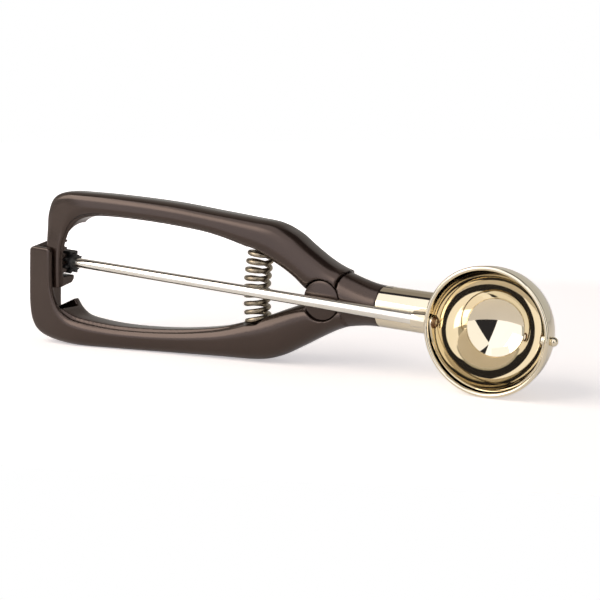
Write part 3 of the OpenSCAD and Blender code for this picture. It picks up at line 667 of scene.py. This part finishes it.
def build_lower_handle():
    body = rail("lower_handle_moulding", LOWER_ROWS)
    neck = rail("neck", NECK_ROWS)
    keep = combined(block((PIVOT_X + SEAM_X - 3, -FAR, -FAR), (NECK_X + 1, FAR, FAR)),
                    [("UNION", seam_disc(0)),
                     ("UNION", block((PIVOT_X + 4, -FAR, -FAR), (NECK_X + 1, FAR, 0)))])
    neck = combined(neck, [("INTERSECT", keep)])
    gap = EYE_T / 2 + EYE_GAP
    pocket_floor = FOOT_LOW - STROKE - 1.4
    inside_x = BUTT_X + END_WALL
    lip = [(inside_x, -21), (ARM_X1 - 0.6, -15.7), (ARM_X1 + 4, -13.4), (ARM_X1 + 4, FAR),
           (inside_x, FAR)]
    return moulded(combined(body, [
        ("UNION", neck),
        ("UNION", drum(EAR_FRONT_Y, EAR_REAR_Y, EAR_R)),
        ("UNION", lock_tab()),
        ("DIFFERENCE", block((inside_x, CHANNEL_FRONT, pocket_floor), (ARM_X1 + 1.6, 1.6, FAR))),
        ("DIFFERENCE", mesh_object("cutter", *skin(
            [[(x, y, z) for x, z in lip] for y in (1.5, FAR)]), smooth=False)),
        ("DIFFERENCE", block((BUTT_X - FAR, -FAR, -FAR), (BUTT_X, FAR, FAR))),
        ("DIFFERENCE", housing_top()),
        ("DIFFERENCE", drum(PIVOT_Y - gap, PIVOT_Y + gap, EAR_R + 0.8)),
        ("DIFFERENCE", drum(-FAR, EAR_FRONT_Y, EAR_R + 0.3)),
        ("DIFFERENCE", drum(EAR_REAR_Y, FAR, EAR_R + 0.3)),
        ("DIFFERENCE", spring_seat(SPRING_LOW, True)),
    ]))


def build_upper_handle():
    body = rail("upper_handle_moulding", UPPER_ROWS)
    foot_gap = TIP_R + 0.5
    foot = [(1.2, -foot_gap + 1), (1.2, FOOT_LOW + 3.2), (0, FOOT_LOW + 1.7),
            (-7.6, FOOT_LOW + 0.1), (-7.6, FOOT_LOW - 9), (FAR, FOOT_LOW - 9),
            (FAR, -foot_gap + 1)]
    round_top = combined(turned("cutter", [(ARM_X0 - 4, foot_gap), (ARM_X1 + 6, foot_gap)],
                                (0, 0, STROKE), (1, 0, 0)),
                         [("INTERSECT", block((ARM_X0 - 5, RACK_ROOT_Y, STROKE - 1),
                                              (ARM_X1 + 7, FAR, FAR)))])
    under_pivot = combined(block((PIVOT_X - 14, -FAR, -FAR), (PIVOT_X + 14, FAR, 0.4)),
                           [("DIFFERENCE", drum(-FAR - 1, FAR + 1, EAR_R + 0.4))])
    # the squeezed spring needs a little more room on the pivot's side
    shorter = -(1 - SPRING_KEEP) * (math.sin(math.radians(SPRING_HIGH)) - SPRING_Z0) * BOW_R
    seat_room = moved(spring_seat(SPRING_HIGH, False), about(PIVOT_X, SQUEEZE)
                      @ Matrix.Translation(Vector((0, 0, shorter)) * MM))
    return moulded(combined(body, [
        ("UNION", drum(PIVOT_Y - EYE_T / 2 - 0.6, PIVOT_Y + EYE_T / 2 + 0.6, EAR_R)),
        ("DIFFERENCE", drum(-FAR, PIVOT_Y - EYE_T / 2, EAR_R + 0.4)),
        ("DIFFERENCE", drum(PIVOT_Y + EYE_T / 2, FAR, EAR_R + 0.4)),
        ("DIFFERENCE", seam_disc(0.35)),
        ("DIFFERENCE", seam_disc(0.35, SQUEEZE)),
        ("DIFFERENCE", block((PIVOT_X + SEAM_X - 3, -FAR, -FAR), (0, FAR, FAR))),
        ("DIFFERENCE", under_pivot),
        ("DIFFERENCE", block((ARM_X0 - 4, RACK_ROOT_Y, -foot_gap), (ARM_X1 + 6, FAR, STROKE))),
        ("DIFFERENCE", round_top),
        ("DIFFERENCE", prism(foot, ARM_X0 - 4, ARM_X1 + 4)),
        ("DIFFERENCE", spring_seat(SPRING_HIGH, False)),
        ("DIFFERENCE", seat_room),
    ]))


dress(build_lower_handle(), BROWN, "frame", "handle_plastic", "lower_handle")
dress(build_upper_handle(), BROWN, "lever", "handle_plastic", "upper_handle")

# ---- Rack teeth on the lever's arm ----
def rack_tooth():
    half, slope = TOOTH_SHARE * PITCH / 2, math.tan(math.radians(PRESSURE_ANGLE))
    root, tip = -PITCH_R - DEDENDUM, -PITCH_R + ADDENDUM
    low, high = half + DEDENDUM * slope, half - ADDENDUM * slope
    return prism([(root, -low), (tip, -high), (tip, high), (root, low)],
                 ARM_X0 + 0.4, ARM_X1 - 0.2)


rack = grown("rack_teeth", rack_tooth(), make_arc_of_teeth(), BROWN, Count=RACK_TEETH,
             First=RACK_FIRST, Step=PITCH / RACK_ARM, **{"Pivot Distance": -PIVOT_X * MM})
finish_mesh(rack.data, sharp=30)
dress(rack, BROWN, "lever", "handle_plastic")


# ---- Pivot ----
def pivot_cap(name, y, way):
    r = EAR_R - 0.1
    crown = [(1.5 - 0.38 * (k / 8) ** 2.2, r * 0.93 * k / 8) for k in range(9)]
    profile = [(0, 0), (0, r)] + [(0.75 + 0.32 * math.sin(a), r - 0.34 * (1 - math.cos(a)))
                                  for a in (math.pi / 2 * k / 5 for k in range(6))]
    return turned(name, profile + crown[::-1], (PIVOT_X, y, 0), (0, way, 0), 128, sharp=60)


dress(pivot_cap("front_cap", EAR_FRONT_Y, -1), BROWN, "frame", "handle_plastic", "front_pivot_cap")
dress(pivot_cap("rear_cap", EAR_REAR_Y, 1), BROWN, "frame", "handle_plastic", "rear_pivot_cap")
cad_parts["pivot_pin"].data.materials.clear()
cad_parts["pivot_pin"].data.materials.append(TURNED)

# ---- Return spring ----
seed = link(bpy.data.meshes.new("seed"), "seed")
coil = grown("spring_coil", seed, make_arc_coil(), SPRING_STEEL, Turns=TURNS,
             Points=int(TURNS * SPRING_POINTS_PER_TURN) + 1, **{
                 "Coil Radius": COIL_R * MM, "Wire Radius": WIRE_R * MM, "Arm": BOW_R * MM,
                 "Start": math.radians(SPRING_LOW) + (WIRE_R + SPRING_GAP_LOW) / BOW_R,
                 "End": math.radians(SPRING_HIGH) - (WIRE_R + SPRING_GAP_HIGH) / BOW_R,
                 "Centre": (BOW_X * MM, SPRING_Y * MM, 0.0)})
finish_mesh(coil.data, sharp=50)
dress(coil, SPRING_STEEL, "frame", "spring_steel", "return_spring")
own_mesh(coil)

# ---- Drive rod, pinion and bush ----
rod_profile = [(BUTT_X + 1.4, 0), (BUTT_X + 1.4, JOURNAL_R - 0.2), (BUTT_X + 1.6, JOURNAL_R),
               (PINION_X0 - 0.2, JOURNAL_R), (PINION_X0 - 0.2, ROD_R)]
rod_profile += [(x, ROD_R) for x in np.linspace(-170, -30, 29)]
rod_profile += [(-SCRAPER_R - 0.25, ROD_R), (-SCRAPER_R - 0.1, ROD_R - 0.15),
                (-SCRAPER_R - 0.1, JOURNAL_R), (-SCRAPER_R + 1.35, JOURNAL_R),
                (-SCRAPER_R + 1.5, JOURNAL_R - 0.15), (-SCRAPER_R + 1.5, 0)]
dress(turned("rod_shaft", rod_profile, (0, 0, 0), (1, 0, 0), 64), BRIGHT_STEEL, "sweep",
      "rod_chrome", "drive_rod")


def involute(r):
    c = min(1.0, BASE_R / r)
    return math.tan(math.acos(c)) - math.acos(c)


def gear_tooth():
    """One tooth of the pinion, pointing to -Y turned by half a pitch."""
    middle = math.pi + math.pi / TEETH

    def flank(r):
        """Half the tooth's angle at radius r."""
        return (TOOTH_SHARE * math.pi / TEETH + involute(PITCH_R)
                - involute(max(r, BASE_R)))

    radii = [BASE_R + (TIP_R - BASE_R) * k / 6 for k in range(7)]
    outline = [(ROOT_R - 0.4, -flank(BASE_R))] + [(r, -flank(r)) for r in radii]
    outline += [(r, flank(r)) for r in reversed(radii)] + [(ROOT_R - 0.4, flank(BASE_R))]
    return prism([(r * math.cos(middle + a), r * math.sin(middle + a)) for r, a in outline],
                 PINION_X0, PINION_X1 - HUB_FLANGE)


teeth = grown("pinion_teeth", gear_tooth(), make_ring_of_teeth(), BLACK, Count=TEETH)
finish_mesh(teeth.data, sharp=25)
dress(teeth, BLACK, "sweep", "pinion_plastic", "pinion")
hub = [(PINION_X0, ROD_R), (PINION_X0, ROOT_R), (PINION_X1 - HUB_FLANGE, ROOT_R),
       (PINION_X1 - HUB_FLANGE, ROOT_R + 0.5), (PINION_X1 - 0.2, ROOT_R + 0.5),
       (PINION_X1, ROOT_R + 0.3), (PINION_X1, ROD_R)]
dress(turned("pinion_hub", hub, (0, 0, 0), (1, 0, 0), 64, wrap=True), BLACK, "sweep",
      "pinion_plastic")
BUSH_X, BUSH_BORE = BUTT_X + END_WALL, JOURNAL_R + RUN_PLAY
bush = [(BUSH_X - 2.2, BUSH_BORE), (BUSH_X - 2.2, 3.2), (BUSH_X, 3.2), (BUSH_X, 4.4),
        (BUSH_X + 0.8, 4.4), (BUSH_X + 1, 4.2), (BUSH_X + 1, BUSH_BORE)]
dress(turned("bush_ring", bush, (0, 0, 0), (1, 0, 0), 64, wrap=True), NATURAL, "frame",
      "bush_plastic", "butt_bush")


# ---- Ferrule: a tube along the leaning neck, cut to the bowl's back ----
def ferrule_tube():
    sides, steps = 144, 14
    origin = Vector((NECK_X, mid_y(NECK_X), 0))
    side, up = Vector((0, 0, 1)).cross(NECK_DIR).normalized(), Vector((0, 0, 1))

    def reach(start):
        """Distance along the neck to the bowl's back."""
        b, c = start.dot(NECK_DIR), start.length_squared - (BOWL_R + 0.02) ** 2
        return -b - math.sqrt(max(b * b - c, 0.0))

    rings = []
    for r in (FERRULE_R, FERRULE_R - FERRULE_WALL):
        starts = [origin + (side * math.cos(a) + up * math.sin(a)) * r
                  for a in (2 * math.pi * i / sides for i in range(sides))]
        ends = [p + NECK_DIR * reach(p) for p in starts]
        near = [p + NECK_DIR * ((NECK_X - p.x) / NECK_DIR.x) for p in starts]
        lines = [[a.lerp(b, k / steps) for a, b in zip(near, ends)] for k in range(steps + 1)]
        rings += lines if r == FERRULE_R else lines[::-1]
    return mesh_object("ferrule_tube", *skin(rings, wrap=True), sharp=40)


dress(ferrule_tube(), CHROME, "frame", "bowl_chrome", "ferrule")


# ---- Collar that holds the rod off the ferrule ----
def collar():
    x1, x0 = -(BOWL_R + COLLAR_FROM), -(BOWL_R + COLLAR_TO)
    r, inner = ROD_R + COLLAR_WALL, ROD_R + RUN_PLAY
    base_y = mid_y(x1) - math.sqrt(FERRULE_R ** 2 - r ** 2) + 0.1
    outline = [(base_y, -r)] + arc(0, 0, r, -90, -270, 32) + [(base_y, r)]
    body = prism(outline, x0, x1)
    bore = turned("cutter", [(x0 - 1, inner), (x1 + 1, inner)], (0, 0, 0), (1, 0, 0), 64)
    body = combined(body, [("DIFFERENCE", bore)])
    bevel = body.modifiers.new("edges", "BEVEL")
    bevel.width, bevel.segments, bevel.limit_method = 0.22 * MM, 3, "ANGLE"
    bevel.angle_limit = math.radians(40)
    body = baked(body, "collar_sleeve")
    finish_mesh(body.data, sharp=35)
    return body


dress(collar(), CHROME, "frame", "rod_chrome", "rod_collar")


# ---- Bowl with its rolled rim ----
def bowl_shell():
    inner = BOWL_R - BOWL_WALL
    bead = BOWL_R + 0.4 - BEAD_R
    profile = arc(0, 0, inner, 90, 0, 96)
    profile += [(inner, -MOUTH * k / 4) for k in (1, 2, 3)]
    start = math.degrees(math.acos((inner - bead) / BEAD_R))
    stop = math.degrees(math.acos((BOWL_R - bead) / BEAD_R))
    profile += arc(bead, -MOUTH, BEAD_R, start, 360 + stop, 40)
    profile += [(BOWL_R, -MOUTH * k / 3) for k in (2, 1)]
    profile += arc(0, 0, BOWL_R, 0, 90, 96)
    bowl = turned("bowl_shell", [(y, r) for r, y in profile], (0, 0, 0), (0, 1, 0), 256, sharp=50)
    rod_hole = turned("cutter", [(-24, ROD_R + 0.15), (-17, ROD_R + 0.15)], (0, 0, 0),
                      (1, 0, 0), 48)
    return combined(bowl, [("DIFFERENCE", rod_hole)])


def smooth_bowl_normals(bowl):
    """The sphere keeps its true normals beside the hole for the rod."""
    mesh = bowl.data
    finish_mesh(mesh)
    normals = [None] * len(mesh.loops)
    for face in mesh.polygons:
        for k in face.loop_indices:
            p = mesh.vertices[mesh.loops[k].vertex_index].co / MM
            n = face.normal
            round_part = p.y > -0.01 and (abs(p.length - BOWL_R) < 0.03
                                          or abs(p.length - BOWL_R + BOWL_WALL) < 0.03)
            radial = p.normalized() if p.length > 1e-6 else n
            if round_part and abs(n.dot(radial)) > 0.9:
                normals[k] = radial * math.copysign(1, n.dot(radial))
            else:
                normals[k] = Vector((0, 0, 0))
    mesh.normals_split_custom_set(normals)
    return bowl


dress(smooth_bowl_normals(bowl_shell()), CHROME, "frame", "bowl_chrome", "bowl")


# ---- Scraper band ----
def scraper_band():
    bulge = (BAND_W - BAND_EAR) / 2
    arc_r = (SCRAPER_R ** 2 + bulge ** 2) / (2 * bulge)
    ear = BAND_EAR / 2
    past = math.asin(ear / SCRAPER_R)
    rings = []
    count, across = 160, 14
    for k in range(count + 1):
        phi = -past + (math.pi + 2 * past) * k / count
        x, z = SCRAPER_R * math.cos(phi), -SCRAPER_R * math.sin(phi)
        if z > 0:
            half = math.sqrt(max(ear ** 2 - z * z, 0.01))
        else:
            half = min(math.sqrt(arc_r ** 2 - x * x) - (arc_r - BAND_W / 2), BAND_W / 2)
        loop = []
        for r, order in ((SCRAPER_R, 1), (SCRAPER_R - SCRAPER_WALL, -1)):
            for j in range(across + 1):
                s = order * (-1 + 2 * j / across)
                # the long edges are slightly rounded over
                edge = 0.12 * max(0.0, abs(s) - 0.86) / 0.14 * order
                y = half * s
                flat = math.sqrt((r - edge) ** 2 - y * y)
                loop.append((flat * math.cos(phi), y, -flat * math.sin(phi)))
        rings.append(loop)
    band = mesh_object("scraper_blade", *skin(rings), sharp=50)
    return moved(band, Matrix.Rotation(math.radians(PARK), 4, "X"))


dress(scraper_band(), CHROME, "sweep", "bowl_chrome", "scraper")
inner_x = SCRAPER_R - SCRAPER_WALL
rivet = [(-inner_x - 0.15, JOURNAL_R), (-inner_x - 0.15, 2.1), (-inner_x + 0.2, 2.2),
         (-inner_x + 0.55, 2.1), (-inner_x + 0.8, 1.75), (-inner_x + 1.1, 1.6),
         (-inner_x + 1.15, JOURNAL_R)]
dress(turned("rivet_ring", rivet, (0, 0, 0), (1, 0, 0), 64, wrap=True), COPPER, "sweep",
      "rivet_brass", "scraper_rivet")
head_x = math.sqrt(inner_x ** 2 - 1.9 ** 2) - 0.15
ball_x, ball_r, shank = BOWL_R + 0.8, 1.55, 1.2
neck_angle = math.degrees(math.asin(shank / ball_r))
pin = [(head_x - 0.7, 0), (head_x - 0.7, 1.6), (head_x - 0.5, 1.85), (head_x - 0.1, 1.9),
       (head_x, 1.8), (head_x, shank), (ball_x - 1.0, shank)]
pin += [(ball_x + ball_r * math.cos(math.radians(a)), ball_r * math.sin(math.radians(a)))
        for a in np.linspace(180 - neck_angle, 0, 22)]
dress(turned("end_pin", pin, (0, 0, 0), (1, 0, 0), 64), CHROME, "frame", "rod_chrome", "ball_pin")


# ---- Camera, floor, lights ----
CAMERA_AT = Vector((131.89, -328.46, 76.51))
RIGHT = Vector((0.8438, 0.5348, 0.0440))
LOOK = Vector((-0.5179, 0.8331, -0.1944)).normalized()
RIGHT = (RIGHT - LOOK * RIGHT.dot(LOOK)).normalized()
UP = RIGHT.cross(LOOK)
FLOOR_Z, FLOOR_REACH, FLOOR_FRONT = -21.75, 4000, 94.0
# The second value is a painted reflection: extra glow the table shows only in reflections
FLOOR_GLOW, FLOOR_REFLECTION_GLOW = 0.48, 0.15
WHITE_FROM_M, WHITE_RATE = 0.25, 2.2


def staged(obj):
    return obj


def bare_material(name):
    material = bpy.data.materials.new(name)
    material.use_nodes = True
    material.node_tree.nodes.clear()
    return material, material.node_tree


def glow_material(name, shade, strength=1.0):
    material, tree = bare_material(name)
    glow = node(tree, "ShaderNodeEmission", Color=(*shade, 1), Strength=strength)
    tree.links.new(glow.outputs[0], tree.nodes.new("ShaderNodeOutputMaterial").inputs[0])
    return material


def make_floor():
    """A plain pale table top under the bowl's rim and the lower handle's belly. Its front
    edge is just outside the picture, where the dark of the room begins."""
    normal = Vector((-0.062, 0, 1)).normalized()
    centre = Vector((0, 0, FLOOR_Z))
    front = Vector((CAMERA_AT.x, CAMERA_AT.y, 0)).normalized()
    fore = (front - normal * front.dot(normal)).normalized()
    side = normal.cross(fore)
    far = FLOOR_REACH
    corners = [(-far, -far), (far, -far), (far, FLOOR_FRONT), (-far, FLOOR_FRONT)]
    floor = mesh_object("floor", [centre + side * a + fore * b for a, b in corners],
                        [(0, 1, 2, 3)])
    if floor.data.polygons[0].normal.z < 0:
        floor.data.flip_normals()
    material, tree = bare_material("pale_floor")
    diffuse = node(tree, "ShaderNodeBsdfDiffuse", Color=(0.93, 0.925, 0.935, 1))
    glow = node(tree, "ShaderNodeEmission", Color=(1, 0.955, 0.975, 1))
    both = tree.nodes.new("ShaderNodeAddShader")
    # the table keeps its shadow near the scoop and turns white further away
    place = tree.nodes.new("ShaderNodeTexCoord").outputs["Object"]
    away = node(tree, "ShaderNodeVectorMath", {"operation": "LENGTH"})
    tree.links.new(place, away.inputs[0])
    beyond = math_node(tree, "SUBTRACT", away.outputs["Value"], WHITE_FROM_M)
    whiter = math_node(tree, "MAXIMUM", math_node(tree, "MULTIPLY", beyond, WHITE_RATE), 0.0)
    whiter = math_node(tree, "MINIMUM", whiter, 1 - FLOOR_GLOW)
    path = tree.nodes.new("ShaderNodeLightPath")
    seen = math_node(tree, "MULTIPLY", path.outputs["Is Camera Ray"],
                     math_node(tree, "ADD", whiter, FLOOR_GLOW))
    # painted reflection: the table glows a little more in reflections than its light alone makes
    # it
    reflection_glow = math_node(tree, "MULTIPLY", path.outputs["Is Glossy Ray"], FLOOR_REFLECTION_GLOW)
    tree.links.new(math_node(tree, "ADD", seen, reflection_glow), glow.inputs["Strength"])
    tree.links.new(diffuse.outputs[0], both.inputs[0])
    tree.links.new(glow.outputs[0], both.inputs[1])
    out = tree.nodes.new("ShaderNodeOutputMaterial")
    tree.links.new(both.outputs[0], out.inputs["Surface"])
    floor.data.materials.append(material)
    return staged(floor)


make_floor()

world = bpy.data.worlds.new("studio")
bpy.context.scene.world = world
world.use_nodes = True
sky = world.node_tree
sky.nodes.clear()
path = sky.nodes.new("ShaderNodeLightPath")


def sky_mix(share, first, second):
    mix = sky.nodes.new("ShaderNodeMixShader")
    for socket, source in zip(mix.inputs, (share, first, second)):
        sky.links.new(source, socket)
    return mix.outputs[0]


# In reflections the world is a lighter room (0.57) than the ambient light it gives (0.30): a
# painted reflection. Camera and transmission rays see plain white
ambient = node(sky, "ShaderNodeBackground", Color=(1.0, 0.985, 0.97, 1), Strength=0.30)
room = node(sky, "ShaderNodeBackground", Color=(1.0, 0.98, 0.93, 1), Strength=0.57)
white = node(sky, "ShaderNodeBackground", Color=(1, 1, 1, 1), Strength=1.0)
seen = math_node(sky, "MAXIMUM", path.outputs["Is Camera Ray"],
                 path.outputs["Is Transmission Ray"])
lit = sky_mix(path.outputs["Is Glossy Ray"], ambient.outputs[0], room.outputs[0])
sky.links.new(sky_mix(seen, lit, white.outputs[0]),
              sky.nodes.new("ShaderNodeOutputWorld").inputs[0])

# Directions round the bowl, with the third one pointing at the camera
TO_CAMERA = CAMERA_AT.normalized()
ACROSS = (RIGHT - TO_CAMERA * RIGHT.dot(TO_CAMERA)).normalized()
ABOVE = TO_CAMERA.cross(ACROSS)


def card(name, raised, distance, outline, shade, strength=1.0):
    """A flat glowing card, a painted reflection: it shows only in reflections and lights nothing.
    It faces the bowl, raised degrees above the line to the camera. The outline is to the right
    and up, in shares of the distance."""
    turn = math.radians(raised)
    way = TO_CAMERA * math.cos(turn) + ABOVE * math.sin(turn)
    top = ABOVE * math.cos(turn) - TO_CAMERA * math.sin(turn)
    points = [(way + ACROSS * u + top * v) * distance for u, v in outline]
    plate = mesh_object(name, points, [tuple(range(len(points)))])
    plate.data.materials.append(glow_material(name, shade, strength))
    for kind in ("camera", "diffuse", "shadow", "transmission"):
        setattr(plate, "visible_" + kind, False)
    return staged(plate)


# These cards are painted reflections: the bright ones stand for softboxes, panels and ceiling, the
# dark ones for a dark room, seen only in chrome and gloss
DARK = (0.030, 0.029, 0.034)
card("dark_room", 0, 900, [(-0.346, -0.40), (0.484, -0.412), (-0.02, 0.40)], DARK)
card("dark_gap", 0, 900, [(-0.02, 0.47), (0.42, 0.93), (0.17, 1.13)], DARK)
card("left_softbox_reflection", 0, 910, [(-0.36, -0.43), (-0.02, 0.40), (0.17, 1.13), (-0.3, 1.9),
                              (-2.2, 1.9), (-2.2, -0.62), (-1, -0.62), (-0.98, -0.43)],
     (0.92, 0.92, 0.97), 1.57)
card("right_panel", 0, 910, [(0.484, -0.412), (1.3, -0.412), (1.3, 1.9), (0.5, 1.9), (0.42, 0.93),
                             (-0.02, 0.47), (-0.02, 0.40)], (1.0, 0.98, 0.97), 1.25)
card("dark_side", 0, 912, [(1.3, -0.412), (4, -0.412), (4, 2.2), (1.3, 2.2)], DARK)
card("top_softbox_reflection", 50, 915, [(-1.5, -0.3), (-0.1, -0.3), (-0.1, 0.9), (-1.5, 0.9)],
     (0.97, 0.94, 0.95), 1.38)
card("dark_ceiling", 50, 912, [(-0.1, 0.15), (3, 0.15), (3, 1.6), (-0.1, 1.6)], DARK)
card("back_ceiling", 81, 905, [(-3, 0.9), (0.1, 0.9), (0.1, 2.4), (-3, 2.4)],
     (1, 0.92, 0.84), 0.37)
card("grey_ceiling", 81, 905, [(-3, 0.28), (0.1, 0.28), (0.1, 0.9), (-3, 0.9)],
     (1, 0.9, 0.8), 0.32)
card("dark_strip", 81, 900, [(-3, 0.02), (0.1, 0.02), (0.1, 0.28), (-3, 0.28)], DARK)


def area(name, place, target, size, power, tint):
    lamp = bpy.data.lights.new(name, "AREA")
    lamp.shape = "RECTANGLE"
    lamp.size, lamp.size_y = size
    lamp.energy = power
    lamp.color = tint
    obj = bpy.data.objects.new(name, lamp)
    bpy.context.scene.collection.objects.link(obj)
    obj.location = Vector(place) * MM
    way = (Vector(target) - Vector(place)).normalized()
    obj.rotation_mode = "QUATERNION"
    obj.rotation_quaternion = way.to_track_quat("-Z", "Y")
    return obj


area("key_softbox", (-690, -660, 640), (-80, 0, 0), (1.1, 1.1), 9.8, (1.0, 0.90, 0.79))

camera_data = bpy.data.cameras.new("camera")
camera_data.sensor_width = 36.0
camera_data.lens = 66.0
camera_data.clip_start, camera_data.clip_end = 0.01, 50.0
camera = bpy.data.objects.new("camera", camera_data)
bpy.context.scene.collection.objects.link(camera)
camera.matrix_world = Matrix.Translation(CAMERA_AT * MM) @ Matrix(
    [[RIGHT[i], UP[i], -LOOK[i]] for i in range(3)]).to_4x4()
bpy.context.scene.camera = camera
bpy.context.scene.view_settings.view_transform = "Standard"
